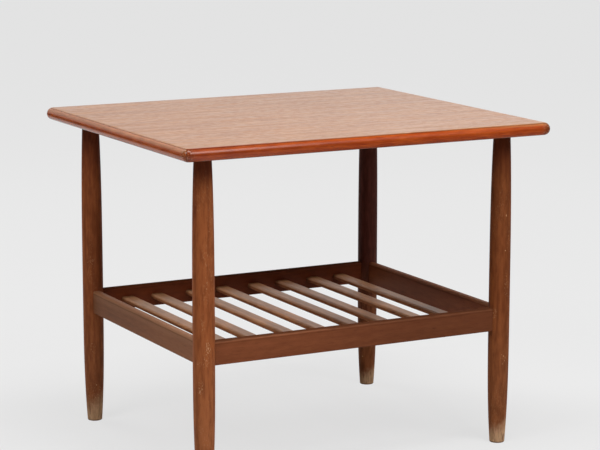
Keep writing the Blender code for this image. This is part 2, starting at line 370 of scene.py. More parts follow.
def scribe(shape, point, normal):
    """Draw the line where a plane meets the piece, and take nothing off."""
    everything = shape.verts[:] + shape.edges[:] + shape.faces[:]
    bmesh.ops.bisect_plane(shape, geom=everything, dist=PLANE_TOLERANCE, plane_co=point, plane_no=normal)


def saw(shape, point, inward):
    """Saw through a piece at a plane, keep the inward side and close the sawn face."""
    everything = shape.verts[:] + shape.edges[:] + shape.faces[:]
    sawn = bmesh.ops.bisect_plane(shape, geom=everything, dist=PLANE_TOLERANCE, plane_co=point,
                                  plane_no=-inward, clear_outer=True)
    rim = [part for part in sawn["geom_cut"] if isinstance(part, bmesh.types.BMEdge)]
    bmesh.ops.edgeloop_fill(shape, edges=rim)


def dress(node, shape, finish):
    """Put a finished piece in the place of its solid."""
    bmesh.ops.recalc_face_normals(shape, faces=shape.faces)
    mesh = bpy.data.meshes.new(f"{node}_dressed")
    shape.to_mesh(mesh)
    shape.free()
    mesh.materials.append(finish)
    mesh.shade_smooth()
    mesh.set_sharp_from_angle(angle=SMOOTH_ANGLE)
    piece = bpy.data.objects.new(f"{node}_dressed", mesh)
    bpy.context.scene.collection.objects.link(piece)
    flats = piece.modifiers.new("flats stay flat", "WEIGHTED_NORMAL")
    flats.keep_sharp = True
    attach(piece, "root")
    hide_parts(node)


# Table top: its veneer and lippings are split off one bullnosed board

def bullnosed_board():
    shape = block(TOP_LOW, TOP_HIGH)
    round_edges(shape, edges_along(shape, Z, lambda middle: True), TOP_CORNER, TOP_CORNER_STEPS)
    rims = [edge for edge in shape.edges
            if (edge.verts[0].co.z - TOP_MIDDLE.z) * (edge.verts[1].co.z - TOP_MIDDLE.z) > 0]
    round_edges(shape, rims, NOSE_RADIUS, NOSE_STEPS)
    return shape


def face_veneer():
    shape = bullnosed_board()
    saw(shape, Vector((0, 0, TOP_HIGH.z - VENEER)), Vector((0, 0, 1)))
    return shape


def edge_of_top(outward):
    return TOP_HIGH.x if outward.x else TOP_HIGH.y


def lipping(side):
    """One edge lipping between the veneers, mitred at both ends."""
    outward = OUTWARD[side]
    depth = VENEER + GLUE_LINE
    shape = bullnosed_board()
    saw(shape, Vector((0, 0, TOP_HIGH.z - depth)), Vector((0, 0, -1)))
    saw(shape, Vector((0, 0, TOP_LOW.z + depth)), Vector((0, 0, 1)))
    saw(shape, outward * (edge_of_top(outward) - LIPPING_WIDTH), outward)
    for neighbour in OUTWARD.values():
        if neighbour.dot(outward) == 0:
            mitre = (outward - neighbour).normalized()
            corner = outward * edge_of_top(outward) + neighbour * edge_of_top(neighbour)
            saw(shape, corner + mitre * GLUE_LINE / 2, mitre)
    return shape


# Legs

def leg_axis(node):
    low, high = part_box(node)
    return (low + high) / 2


def leg_radius(height):
    """Radius of the turned leg: fullest at the belly and drawn in towards head and foot."""
    if height > LEG_BELLY_HEIGHT:
        rise = (height - LEG_BELLY_HEIGHT) / (LEG_SHOULDER - LEG_BELLY_HEIGHT)
        return LEG_BELLY_RADIUS - (LEG_BELLY_RADIUS - LEG_HEAD_RADIUS) * rise ** LEG_HEAD_POWER
    fall = (LEG_BELLY_HEIGHT - height) / LEG_BELLY_HEIGHT
    return LEG_BELLY_RADIUS - (LEG_BELLY_RADIUS - LEG_FOOT_RADIUS) * fall ** LEG_FOOT_POWER


def leg_profile(spigot_top):
    """Radius and height of the leg's outline, from the spigot down to the middle of the foot."""
    outline = [
        (0, spigot_top),
        (SPIGOT_RADIUS - SPIGOT_CHAMFER, spigot_top),
        (SPIGOT_RADIUS, spigot_top - SPIGOT_CHAMFER),
        (SPIGOT_RADIUS, LEG_SHOULDER),
    ]
    middle = (LEG_SHOULDER + FOOT_RIM) / 2
    reach = (LEG_SHOULDER - FOOT_RIM) / 2
    for ring in range(LEG_RINGS + 1):
        height = middle + reach * math.cos(math.pi * ring / LEG_RINGS)
        outline.append((leg_radius(height), height))
    rim_centre = leg_radius(FOOT_RIM) - FOOT_RIM
    for step in range(1, FOOT_RIM_STEPS + 1):
        angle = math.pi / 2 * step / FOOT_RIM_STEPS
        outline.append((rim_centre + FOOT_RIM * math.cos(angle), FOOT_RIM - FOOT_RIM * math.sin(angle)))
    outline.append((0, 0))
    return outline


def turned_leg(node):
    axis = leg_axis(node)
    shape = bmesh.new()
    points = [shape.verts.new((axis.x + radius, axis.y, height))
              for radius, height in leg_profile(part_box(node)[1].z)]
    edges = [shape.edges.new(pair) for pair in zip(points, points[1:])]
    bmesh.ops.spin(shape, geom=points + edges, cent=(axis.x, axis.y, 0), axis=(0, 0, 1),
                   dvec=(0, 0, 0), angle=math.tau, steps=LEG_SIDES, use_merge=True)
    bmesh.ops.remove_doubles(shape, verts=shape.verts, dist=WELD_DISTANCE)
    return shape


# Shelf

def rail(node, run, across):
    """A rail with eased edges, drawn from leg to leg and coped to their round shafts."""
    low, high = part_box(node)
    near = leg_axis(LEGS[0])
    low[run], high[run] = near[run], -near[run]
    shape = block(low, high)
    middle_height = (low.z + high.z) / 2
    round_edges(shape, edges_along(shape, run, lambda middle: middle.z > middle_height),
                RAIL_TOP_ROUND, RAIL_ROUND_STEPS)
    round_edges(shape, edges_along(shape, run, lambda middle: middle.z < middle_height),
                RAIL_BOTTOM_ROUND, RAIL_ROUND_STEPS)
    rail_line = (low[across] + high[across]) / 2
    for corner in shape.verts:
        reach = leg_radius(corner.co.z) + GLUE_LINE
        setback = math.sqrt(reach ** 2 - (corner.co[across] - rail_line) ** 2)
        corner.co[run] -= math.copysign(setback, corner.co[run])
    return shape


def chop_mortises(shape, inner_face):
    """Sink a pocket for every slat's tenon into the inner face of a long rail."""
    margin = TENON_SHOULDER - GLUE_LINE
    pockets = []
    for slat_node in SLATS:
        low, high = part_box(slat_node)
        pockets.append((low.x + margin, high.x - margin))
        scribe(shape, Vector((low.x + margin, 0, 0)), Vector((1, 0, 0)))
        scribe(shape, Vector((high.x - margin, 0, 0)), Vector((1, 0, 0)))
    low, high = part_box(SLATS[0])
    bottom, top = low.z + margin, high.z - margin
    scribe(shape, Vector((0, 0, bottom)), Vector((0, 0, 1)))
    scribe(shape, Vector((0, 0, top)), Vector((0, 0, 1)))
    shape.normal_update()
    mouths = []
    for face in shape.faces:
        middle = face.calc_center_median()
        inside = any(left < middle.x < right for left, right in pockets) and bottom < middle.z < top
        if inside and face.normal.dot(inner_face) > FACING_SHARE:
            mouths.append(face)
    floors = bmesh.ops.extrude_discrete_faces(shape, faces=mouths)["faces"]
    sunk = [corner for face in floors for corner in face.verts]
    bmesh.ops.translate(shape, verts=sunk, vec=-inner_face * (TENON_LENGTH + GLUE_LINE))


def slat(node):
    """A slat with rounded edges and a stub tenon drawn out of each end."""
    low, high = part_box(node)
    shape = block(low + Vector((0, TENON_LENGTH, 0)), high - Vector((0, TENON_LENGTH, 0)))
    round_edges(shape, edges_along(shape, Y, lambda middle: True), SLAT_ROUND, SLAT_ROUND_STEPS)
    shape.normal_update()
    for way in (-1, 1):
        end = max(shape.faces, key=lambda face: way * face.calc_center_median().y)
        bmesh.ops.inset_region(shape, faces=[end], thickness=TENON_SHOULDER, use_even_offset=True)
        tenon = bmesh.ops.extrude_discrete_faces(shape, faces=[end])["faces"][0]
        bmesh.ops.translate(shape, verts=tenon.verts, vec=(0, way * TENON_LENGTH, 0))
    return shape


# Finishes

# The middle of a noise, the fineness of a ragged line, and how much of a spot's reach is full
NOISE_MIDDLE = 0.5
RAGGED_DETAIL = 4.0
SPOT_CORE = 0.35


class Tone:
    """A value at one output of a sheet of nodes. Arithmetic on it adds Math nodes to the sheet."""

    def __init__(self, sheet, socket):
        self.sheet = sheet
        self.socket = socket

    def math(self, operation, *terms):
        return self.sheet.node("Math", {"operation": operation}, dict(enumerate(terms)))

    def __add__(self, other):
        return self.math("ADD", self, other)

    def __sub__(self, other):
        return self.math("SUBTRACT", self, other)

    def __rsub__(self, other):
        return self.math("SUBTRACT", other, self)

    def __mul__(self, other):
        return self.math("MULTIPLY", self, other)

    def __truediv__(self, other):
        return self.math("DIVIDE", self, other)

    def __abs__(self):
        return self.math("ABSOLUTE", self)

    def at_least(self, other):
        return self.math("MAXIMUM", self, other)

    def at_most(self, other):
        return self.math("MINIMUM", self, other)

    __radd__ = __add__
    __rmul__ = __mul__


class Sheet:
    """The nodes of one finish, drawn on the object's own coordinates."""

    def __init__(self, tree):
        self.tree = tree
        self.spot = None

    def node(self, kind, settings=None, values=None, output=0):
        made = self.tree.nodes.new(f"ShaderNode{kind}")
        for name, setting in (settings or {}).items():
            setattr(made, name, setting)
        for name, value in (values or {}).items():
            if isinstance(value, Tone):
                self.tree.links.new(value.socket, made.inputs[name])
            else:
                made.inputs[name].default_value = value
        return Tone(self, made.outputs[output])

    def place(self):
        """Where a point of the piece is, in metres."""
        if self.spot is None:
            self.spot = self.node("TexCoord", output="Object")
        return self.spot

    def along(self, axis):
        return self.node("SeparateXYZ", values={"Vector": self.place()}, output=axis)

    def stretched(self, centre, scale):
        """The place measured from a centre, in steps of its own along each axis."""
        shift = [-middle * steps for middle, steps in zip(centre, scale)]
        return self.node("Mapping", values={"Vector": self.place(), "Location": shift, "Scale": scale})

    def grain(self, run, across, along, detail=2.0):
        """Noise drawn out along the run of the wood, with so many marks to the metre each way."""
        scale = [across, across, across]
        scale[run] = along
        noise = {"Vector": self.stretched((0, 0, 0), scale), "Scale": 1.0, "Detail": detail}
        return self.node("TexNoise", values=noise)

    def ragged(self, run, across, along, height):
        """How far a ragged line strays from its middle, in metres."""
        return (self.grain(run, across, along, RAGGED_DETAIL) - NOISE_MIDDLE) * height

    def nicks(self, run):
        """Small nicks in the wood, drawn out along its run."""
        return self.fade(self.grain(run, NICKS_ACROSS, NICKS_ALONG), NICK_FROM, NICK_TO)

    def spot_at(self, centre, reach):
        """1 at a centre, and 0 beyond its reach along each axis."""
        steps = self.stretched(centre, [1 / length for length in reach])
        distance = self.node("VectorMath", {"operation": "LENGTH"}, {0: steps}, output="Value")
        return self.fade(distance, 1.0, SPOT_CORE)

    def fade(self, value, start, end):
        """0 at the start and 1 at the end, with soft ends."""
        return self.node("MapRange", {"interpolation_type": "SMOOTHSTEP"},
                         {"Value": value, "From Min": start, "From Max": end})

    def blend(self, share, first, second):
        """The first colour, and as much of the second as the share says."""
        return self.node("Mix", {"data_type": "RGBA"},
                         {0: share, 6: opaque(first), 7: opaque(second)}, output=2)


def opaque(colour):
    return colour if isinstance(colour, Tone) else (*colour, 1.0)


class Finish(Sheet):
    """A material with one surface shader."""

    def __init__(self, name):
        self.material = bpy.data.materials.new(name)
        self.material.use_nodes = True
        super().__init__(self.material.node_tree)
        self.surface = self.tree.nodes["Principled BSDF"]

    def set(self, **values):
        for name, value in values.items():
            socket = self.surface.inputs[name.replace("_", " ").title().replace("Ior", "IOR")]
            if isinstance(value, Tone):
                self.tree.links.new(value.socket, socket)
            else:
                socket.default_value = value

    def raised(self, height, depth):
        """Small relief in the surface, in metres."""
        self.set(normal=self.node("Bump", values={"Height": height, "Distance": depth, "Strength": 1.0}))


class Wood(NamedTuple):
    """Colours of a wood, as linear red, green and blue."""
    pale: tuple
    deep: tuple
    pore: tuple

    def toned(self, share):
        """The same wood, lighter or darker."""
        return Wood(*(tuple(share * part for part in colour) for colour in self))


class Polish(NamedTuple):
    """How rough a surface is, how much it shines, and how deep its grain is in metres."""
    roughness: float
    shine: float
    grain_depth: float


class Figure(NamedTuple):
    """The grain of a piece: how pale its wood is from place to place, its pores and its relief."""
    paleness: Tone
    pores: Tone
    relief: Tone


TOP_TEAK = Wood((0.365, 0.149, 0.043), (0.243, 0.085, 0.022), (0.12, 0.04, 0.012))
LIPPING_TEAK = Wood((0.4, 0.071, 0.011), (0.255, 0.034, 0.006), (0.1, 0.018, 0.005))
END_LIPPING_TEAK = Wood((0.46, 0.1, 0.021), (0.31, 0.058, 0.012), (0.13, 0.026, 0.008))
WORN_TEAK = Wood((0.41, 0.148, 0.056), (0.28, 0.092, 0.032), (0.14, 0.045, 0.018))
LEG_TEAK = Wood((0.36, 0.104, 0.032), (0.226, 0.06, 0.018), (0.12, 0.033, 0.012))
# Lighter teak painted on the lower legs as light from the floor
FLOOR_LIT_TEAK = Wood((0.36, 0.117, 0.042), (0.226, 0.068, 0.024), (0.12, 0.037, 0.015))
# Darker teak: on the legs' heads it is painted shade under the top, and the back rail is made of it
DARK_TEAK = Wood((0.2, 0.045, 0.014), (0.13, 0.027, 0.009), (0.07, 0.016, 0.006))
# Teak painted dark as shade for the back right leg, which stands in shadow under the top
SHADED_LEG_TEAK = Wood((0.117, 0.032, 0.021), (0.074, 0.0185, 0.012), (0.04, 0.011, 0.007))
RAIL_TEAK = Wood((0.25, 0.075, 0.028), (0.16, 0.043, 0.015), (0.09, 0.025, 0.01))
GREYED_TEAK = Wood((0.235, 0.09, 0.037), (0.15, 0.053, 0.021), (0.09, 0.03, 0.013))
SLAT_TEAK = Wood((0.44, 0.185, 0.06), (0.3, 0.115, 0.036), (0.15, 0.055, 0.02))
SLAT_SIDE_TEAK = Wood((0.43, 0.172, 0.08), (0.29, 0.107, 0.048), (0.15, 0.055, 0.026))
# Paler teak painted on the slats' back ends as light under the table top
BACK_LIT_SLAT_TEAK = Wood((0.55, 0.275, 0.135), (0.39, 0.185, 0.087), (0.2, 0.085, 0.042))
UNDER_TEAK = Wood((0.3, 0.12, 0.05), (0.2, 0.075, 0.03), (0.12, 0.045, 0.02))
BARE_TEAK = Wood((0.66, 0.4, 0.23), (0.53, 0.305, 0.165), (0.28, 0.15, 0.075))
CORE_WOOD = Wood((0.5, 0.36, 0.22), (0.38, 0.27, 0.16), (0.25, 0.17, 0.1))
BEECH = Wood((0.55, 0.38, 0.22), (0.45, 0.3, 0.17), (0.35, 0.22, 0.12))
STAINED_RIM = (0.2, 0.034, 0.009)
DARK_SEAM = (0.07, 0.02, 0.008)
# Grime, also used for painted shade on the rails' tops, the slats' ends and the feet's rims
GRIME_AND_SHADE = (0.07, 0.022, 0.009)
# Worn wood, also painted as a highlight on the rails' upper edges
RUBBED_AND_LIT_WOOD = (0.42, 0.2, 0.1)
SCRATCHED_WOOD = (0.62, 0.34, 0.17)

# Woods of each leg's shaft and of its head. The darker head wood is painted shade under the top,
# and the back right leg's shaft wood is painted shade too
LEG_WOODS = {
    "leg_front_left": (LEG_TEAK, DARK_TEAK),
    "leg_front_right": (LEG_TEAK, DARK_TEAK),
    "leg_back_left": (LEG_TEAK, DARK_TEAK),
    # This leg's shaft and head are painted shade
    "leg_back_right": (SHADED_LEG_TEAK, SHADED_LEG_TEAK),
}
RAIL_WOODS = {
    "rail_front": RAIL_TEAK,
    "rail_back": DARK_TEAK,
    "rail_left": GREYED_TEAK,
    "rail_right": RAIL_TEAK,
}

VENEER_POLISH = Polish(roughness=0.33, shine=0.1, grain_depth=0.00004)
LIPPING_POLISH = Polish(roughness=0.27, shine=0.09, grain_depth=0.00004)
END_LIPPING_POLISH = Polish(roughness=0.2, shine=0.31, grain_depth=0.00004)
RAIL_POLISH = Polish(roughness=0.48, shine=0.0, grain_depth=0.00006)
SLAT_POLISH = Polish(roughness=0.6, shine=0.0, grain_depth=0.00005)
DRY_POLISH = Polish(roughness=0.65, shine=0.3, grain_depth=0.00006)
RAW_POLISH = Polish(roughness=0.8, shine=0.3, grain_depth=0.00006)
LEG_ROUGHNESS = 0.55
LEG_GRAIN_DEPTH = 0.00006

# Layers of a wood's figure: how much each shows, and its marks to the metre across and along
FIGURE_LAYERS = {
    "bands": (1.0, 42, 1.3),
    "streaks": (1.1, 170, 9),
    "flecks": (1.3, 210, 44),
    "fibres": (0.5, 1600, 26),
}
VENEER_LAYERS = {
    "bands": (1.2, 42, 1.3),
    "streaks": (1.7, 170, 7),
    "flecks": (2.1, 230, 24),
    "fibres": (0.8, 1600, 26),
}
LEG_FIGURE = 1.4
RAIL_FIGURE = 0.5
SLAT_FIGURE = 1.3
LIPPING_FIGURE = 1.05
FIGURE_DETAIL = 3.0
FIGURE_RELIEF = 0.3
PORES_ACROSS = 1300
PORES_ALONG = 75
PORE_FROM = 0.58
PORE_TO = 0.72
PORE_STAIN = 0.55
DULL_ROUGHNESS = 0.1


def figure_along(finish, run, strength=1.0, layers=FIGURE_LAYERS):
    """Grain that runs along one axis, and how strongly it shows."""
    paleness = NOISE_MIDDLE
    for share, across, along in layers.values():
        marks = finish.grain(run, across, along, FIGURE_DETAIL)
        paleness = paleness + strength * share * (marks - NOISE_MIDDLE)
    pores = finish.fade(finish.grain(run, PORES_ACROSS, PORES_ALONG), PORE_FROM, PORE_TO)
    return Figure(finish.fade(paleness, 0.0, 1.0), pores, paleness * FIGURE_RELIEF - pores)


def coloured(finish, figure, wood):
    """A wood's colour where it has this figure."""
    colour = finish.blend(figure.paleness, wood.deep, wood.pale)
    return finish.blend(figure.pores * PORE_STAIN, colour, wood.pore)


def polished(finish, colour, dull, relief, polish):
    """Give a finish its colour, its polish, which is lost where it is dull, and its relief."""
    finish.set(base_color=colour, roughness=polish.roughness + DULL_ROUGHNESS * dull,
               specular_ior_level=polish.shine)
    finish.raised(relief, polish.grain_depth)
    return finish.material


def veneer_finish():
    """Face veneer under a film of oil that is thin in its dry marks. It is stained like the lippings
    where it runs out over the rounded edge."""
    finish = Finish("oiled teak veneer")
    figure = figure_along(finish, X, layers=VENEER_LAYERS)
    colour = coloured(finish, figure, TOP_TEAK)
    flat = TOP_HIGH - Vector((NOSE_RADIUS, NOSE_RADIUS, 0))
    past_flat = abs(finish.along(Y)) - flat.y
    past_end = abs(finish.along(X)) - flat.x - END_STAIN_FROM
    leftward = finish.fade(finish.along(X), STAIN_FADES_TO, STAIN_FADES_FROM)
    rim = finish.fade(past_flat, -SEAM_WIDTH, SEAM_WIDTH)
    rim = leftward * rim.at_least(finish.fade(past_end, -SEAM_WIDTH, SEAM_WIDTH) * END_STAIN)
    colour = finish.blend(rim, colour, STAINED_RIM)
    seam = finish.fade(abs(past_flat), SEAM_WIDTH, 0.0) * leftward
    colour = finish.blend(seam * SEAM_STAIN, colour, DARK_SEAM)
    flecks = finish.grain(X, DRY_MARKS_ACROSS, DRY_FLECKS_ALONG)
    lines = finish.grain(X, DRY_MARKS_ACROSS, DRY_LINES_ALONG)
    dry = finish.fade(flecks + lines, DRY_FROM, DRY_TO)
    oil = OIL_BETWEEN_MARKS - (OIL_BETWEEN_MARKS - OIL_IN_MARKS) * dry
    finish.set(coat_weight=oil * (1 - rim), coat_roughness=VENEER_POLISH.roughness)
    return polished(finish, colour, figure.pores - rim, figure.relief, VENEER_POLISH)


def lipping_finish(name, run, wood, wear, polish):
    """A lipping with dark mitres, an upper edge worn pale and knocked front corners. Towards the left
    end of the top it changes its tone and may keep more of its varnish."""
    finish = Finish(name)
    figure = figure_along(finish, run, LIPPING_FIGURE)
    leftward = finish.fade(finish.along(X), LEFT_TONE_FROM, TOP_LOW.x)
    colour = finish.blend(leftward, coloured(finish, figure, wood),
                          coloured(finish, figure, wood.toned(wear.left_tone)))
    below = TOP_HIGH.z - finish.along(Z)
    # The lower edge is painted lighter, as light from the floor
    colour = finish.blend(finish.fade(below, FLOOR_LIGHT_EDGE_FROM, FLOOR_LIGHT_EDGE_TO), colour,
                          coloured(finish, figure, wood.toned(wear.floor_light_tone)))
    ragged = finish.ragged(run, WORN_EDGE_RAGS_ACROSS, WORN_EDGE_RAGS_ALONG, WORN_EDGE_RAGGED)
    depth = (below + ragged) / wear.worn_depth
    rightward = finish.fade(finish.along(X), WORN_EDGE_FROM, WORN_EDGE_TO)
    share = wear.worn_left + (wear.worn_right - wear.worn_left) * rightward
    worn = finish.fade(depth, 1 + WORN_EDGE_SOFTNESS, 1 - WORN_EDGE_SOFTNESS) * share
    colour = finish.blend(worn, colour, coloured(finish, figure, WORN_TEAK))
    off_mitre = (abs(finish.along(X)) - TOP_HIGH.x) - (abs(finish.along(Y)) - TOP_HIGH.y)
    mitre = finish.fade(abs(off_mitre), MITRE_LINE, 0.0)
    colour = finish.blend(mitre * MITRE_STAIN, colour, DARK_SEAM)
    corner = finish.spot_at((TOP_HIGH.x, TOP_LOW.y, TOP_MIDDLE.z), [KNOCKED_CORNER] * 3)
    left_corner = finish.spot_at((TOP_LOW.x, TOP_LOW.y, TOP_MIDDLE.z), [KNOCKED_CORNER] * 3)
    corner = corner.at_least(left_corner * LEFT_CORNER_SHARE)
    colour = finish.blend(corner * CORNER_GRIME, colour, DARK_SEAM)
    colour = finish.blend(finish.nicks(run) * corner * CORNER_NICKS, colour, BARE_TEAK.pale)
    varnished = finish.fade(finish.along(X), VARNISH_FROM, TOP_LOW.x) * wear.varnish
    finish.set(coat_weight=varnished, coat_roughness=VARNISH_ROUGHNESS)
    return polished(finish, colour, figure.pores, figure.relief, polish)


def mark_on_leg(finish, node, height, turn, width, length):
    """A mark on a leg's shaft, at a height and facing a way given in degrees from the front."""
    axis = leg_axis(node)
    face = math.radians(turn)
    radius = leg_radius(height)
    centre = (axis.x + radius * math.sin(face), axis.y - radius * math.cos(face), height)
    return finish.spot_at(centre, (width, width, length))


def leg_finish(node, shaft_wood, head_shade_wood, wear):
    """A leg painted darker towards the head as shade under the top and lighter towards the foot as
    light from the floor, bared and cracked at the foot, with a rim darkened by grime and painted
    shade, and scratched and chipped on its shaft."""
    finish = Finish(f"turned teak, {node.replace('_', ' ')}")
    figure = figure_along(finish, Z, LEG_FIGURE)
    # Towards the foot the leg is painted lighter, as light from the floor
    colour = finish.blend(finish.fade(finish.along(Z), FLOOR_LIGHT_FROM, FLOOR_LIGHT_TO),
                          coloured(finish, figure, shaft_wood.toned(wear.tone)),
                          coloured(finish, figure, FLOOR_LIT_TEAK.toned(wear.floor_light_tone)))
    # Painted shade under the top: the head, and a few streaks down the side, darken to the head wood
    dark = finish.fade(finish.along(Z), wear.shade_from, HEAD_SHADE_TO)
    for height, turn, length in wear.shade_streaks:
        streak = mark_on_leg(finish, node, height, turn, SHADE_STREAK_WIDTH, length)
        dark = dark.at_least(streak * SHADE_STREAK_SHARE)
    colour = finish.blend(dark, colour, coloured(finish, figure, head_shade_wood.toned(wear.tone)))
    ragged = finish.ragged(Z, FOOT_RAGS_ACROSS, FOOT_RAGS_ALONG, FOOT_RAGGED)
    leaning = (finish.along(X) - leg_axis(node).x) * FOOT_BARED_LEAN
    bared = finish.fade(finish.along(Z) - ragged - leaning, wear.bared_to, FOOT_BARED_FROM)
    nicks = finish.nicks(Z)
    patches = finish.grain(Z, FAINT_PATCHES_ACROSS, FAINT_PATCHES_ALONG)
    faint = finish.fade(patches, FAINT_PATCH_FROM, FAINT_PATCH_TO)
    scratched = nicks * faint * wear.faint_scratches
    for height, turn, length, strength in wear.scratches:
        patch = mark_on_leg(finish, node, height, turn, SCRATCHED_WIDTH, length)
        scratched = scratched.at_least(nicks * patch * strength)
    for height, turn, length in wear.chips:
        chip = mark_on_leg(finish, node, height, turn, CHIP_WIDTH, length)
        scratched = scratched.at_least(chip * CHIP_SHARE)
    colour = finish.blend(bared, colour, coloured(finish, figure, BARE_TEAK))
    colour = finish.blend(scratched, colour, SCRATCHED_WOOD)
    low = finish.fade(finish.along(Z), wear.bared_to, FOOT_BARED_FROM)
    cracks = finish.fade(finish.grain(Z, CRACKS_ACROSS, CRACKS_ALONG), CRACK_FROM, CRACK_TO)
    # The rim darkens with grime and painted contact shade where the foot meets the floor
    rim = finish.fade(finish.along(Z), RIM_GRIME_AND_SHADE_FROM, RIM_GRIME_AND_SHADE_TO) * FOOT_RIM_GRIME_AND_SHADE
    colour = finish.blend((cracks * low * FOOT_CRACKS).at_least(rim), colour, GRIME_AND_SHADE)
    cut = bared.at_least(scratched)
    polish = Polish(LEG_ROUGHNESS, wear.shine, LEG_GRAIN_DEPTH)
    return polished(finish, colour, figure.pores + CUT_DULLNESS * cut, figure.relief - cut, polish)


def rail_finish(node, run, wood, wear):
    """A rail that changes its tone along its run, with painted shade on its top, an upper edge worn
    pale and painted as a highlight, a worn band, and a dark line below the edge."""
    finish = Finish(f"teak {node.replace('_', ' ')}")
    low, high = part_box(node)
    figure = figure_along(finish, run, RAIL_FIGURE)
    far = finish.fade(finish.along(run), low[run] * NEAR_TONE_TO, high[run] * FAR_TONE_FROM)
    colour = finish.blend(far, coloured(finish, figure, wood.toned(wear.near_tone)),
                          coloured(finish, figure, wood.toned(wear.far_tone)))
    ragged = finish.ragged(run, RAIL_RAGS_ACROSS, RAIL_RAGS_ALONG, RAIL_RAGGED)
    depth = high.z - finish.along(Z) + ragged
    band = finish.fade(depth, WORN_BAND, WORN_BAND / 2)
    colour = finish.blend(band * wear.band, colour, RUBBED_AND_LIT_WOOD)
    # The upper edge is worn pale and partly painted as a highlight
    worn_and_lit_edge = finish.fade(depth, RUBBED_LIT_EDGE_FROM, RUBBED_LIT_EDGE_TO)
    kept = 1 - far * (1 - EDGE_KEPT_FAR)
    colour = finish.blend(worn_and_lit_edge * kept * wear.edge, colour, RUBBED_AND_LIT_WOOD)
    line = finish.fade(abs(depth - DARK_LINE_DEPTH), DARK_LINE_WIDTH, DARK_LINE_CORE)
    # The top is painted dark as shade under the table top; it and the dark line lose the sheen
    top = finish.fade(depth, TOP_SHADE_FROM, TOP_SHADE_TO)
    shade_and_line = (line * wear.line).at_least(top * wear.top)
    colour = finish.blend(shade_and_line, colour, GRIME_AND_SHADE)
    finish.set(coat_weight=(1 - shade_and_line) * wear.shine, coat_roughness=RAIL_POLISH.roughness)
    return polished(finish, colour, figure.pores, figure.relief, RAIL_POLISH)


def slat_finish(node, tone, back_light_tone, side_shade_tone):
    """A slat painted lighter towards its back end as light under the table top, with a darker front,
    sides of their own wood that are painted darker on the left slats as shade, ends darkened by
    grime and painted shade where they meet the rails, and a sheen on its top."""
    finish = Finish(f"teak {node.replace('_', ' ')}")
    figure = figure_along(finish, Y, SLAT_FIGURE)
    # The back end is painted lighter, as light under the table top; the sides take their own wood below
    colour = finish.blend(finish.fade(finish.along(Y), SLAT_BACK_LIGHT_FROM, SLAT_BACK_LIGHT_TO),
                          coloured(finish, figure, SLAT_TEAK.toned(tone)),
                          coloured(finish, figure, BACK_LIT_SLAT_TEAK.toned(back_light_tone)))
    front = finish.fade(finish.along(Y), SLAT_FRONT_FROM, SLAT_FRONT_TO)
    colour = finish.blend(front, colour,
                          coloured(finish, figure, SLAT_TEAK.toned(tone * SLAT_FRONT_TONE)))
    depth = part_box(node)[1].z - finish.along(Z)
    side = finish.fade(depth, SLAT_SIDE_FROM, SLAT_SIDE_TO)
    # The sides take their own wood, painted darker on the left slats as the left rail's shade
    colour = finish.blend(side, colour, coloured(finish, figure, SLAT_SIDE_TEAK.toned(side_shade_tone)))
    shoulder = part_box(node)[1].y - TENON_LENGTH
    # The ends darken with grime and painted shade where they meet the rails
    end = finish.fade(abs(finish.along(Y)), shoulder - SLAT_END_SHADE_REACH, shoulder)
    colour = finish.blend(end * SLAT_END_GRIME_AND_SHADE, colour, GRIME_AND_SHADE)
    finish.set(coat_weight=(1 - side) * (1 - end) * SLAT_SHEEN, coat_roughness=SLAT_SHEEN_ROUGHNESS)
    return polished(finish, colour, figure.pores, figure.relief, SLAT_POLISH)


def plain_wood_finish(name, run, wood, polish):
    finish = Finish(name)
    figure = figure_along(finish, run)
    return polished(finish, coloured(finish, figure, wood), figure.pores, figure.relief, polish)


# Making the table

def build_top():
    dress("top_veneer", face_veneer(), veneer_finish())
    long_way = lipping_finish("teak lipping, long edges", X, LIPPING_TEAK, LONG_EDGE_WEAR,
                              LIPPING_POLISH)
    short_way = lipping_finish("teak lipping, short edges", Y, END_LIPPING_TEAK, SHORT_EDGE_WEAR,
                               END_LIPPING_POLISH)
    for side, outward in OUTWARD.items():
        dress(f"lipping_{side}", lipping(side), long_way if outward.y else short_way)


def build_legs():
    for node in LEGS:
        dress(node, turned_leg(node), leg_finish(node, *LEG_WOODS[node], LEG_WEAR[node]))


def build_shelf():
    for node in LONG_RAILS:
        shape = rail(node, X, Y)
        inner_face = -OUTWARD[node.removeprefix("rail_")]
        chop_mortises(shape, inner_face)
        dress(node, shape, rail_finish(node, X, RAIL_WOODS[node], RAIL_WEAR[node]))
    for node in SHORT_RAILS:
        dress(node, rail(node, Y, X), rail_finish(node, Y, RAIL_WOODS[node], RAIL_WEAR[node]))
    for node, *tones in zip(SLATS, SLAT_TONES, SLAT_BACK_LIGHT_TONES, SLAT_SIDE_SHADE_TONES):
        dress(node, slat(node), slat_finish(node, *tones))


def finish_hidden_solids():
    """The solids that stay as they are: the board inside the top, the veneer below it and the dowels."""
    under = plain_wood_finish("balancing veneer", X, UNDER_TEAK, DRY_POLISH)
    core = plain_wood_finish("core board", X, CORE_WOOD, RAW_POLISH)
    pin = plain_wood_finish("beech dowel", X, BEECH, RAW_POLISH)
    for name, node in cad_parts.items():
        if name == "under_veneer":
            node.material_slots[0].material = under
        elif name == "top_core":
            node.material_slots[0].material = core
        elif name.startswith("dowel"):
            node.material_slots[0].material = pin


# Studio

CAMERA_PLACE = Vector((-1.59273, -3.03042, 0.95271))
CAMERA_YAW = math.radians(27.920)
CAMERA_PITCH = math.radians(10.342)
CAMERA_ROLL = math.radians(-0.069)
FOCAL_PIXELS = 2247.79
PICTURE_WIDTH = 600
SENSOR = 36.0

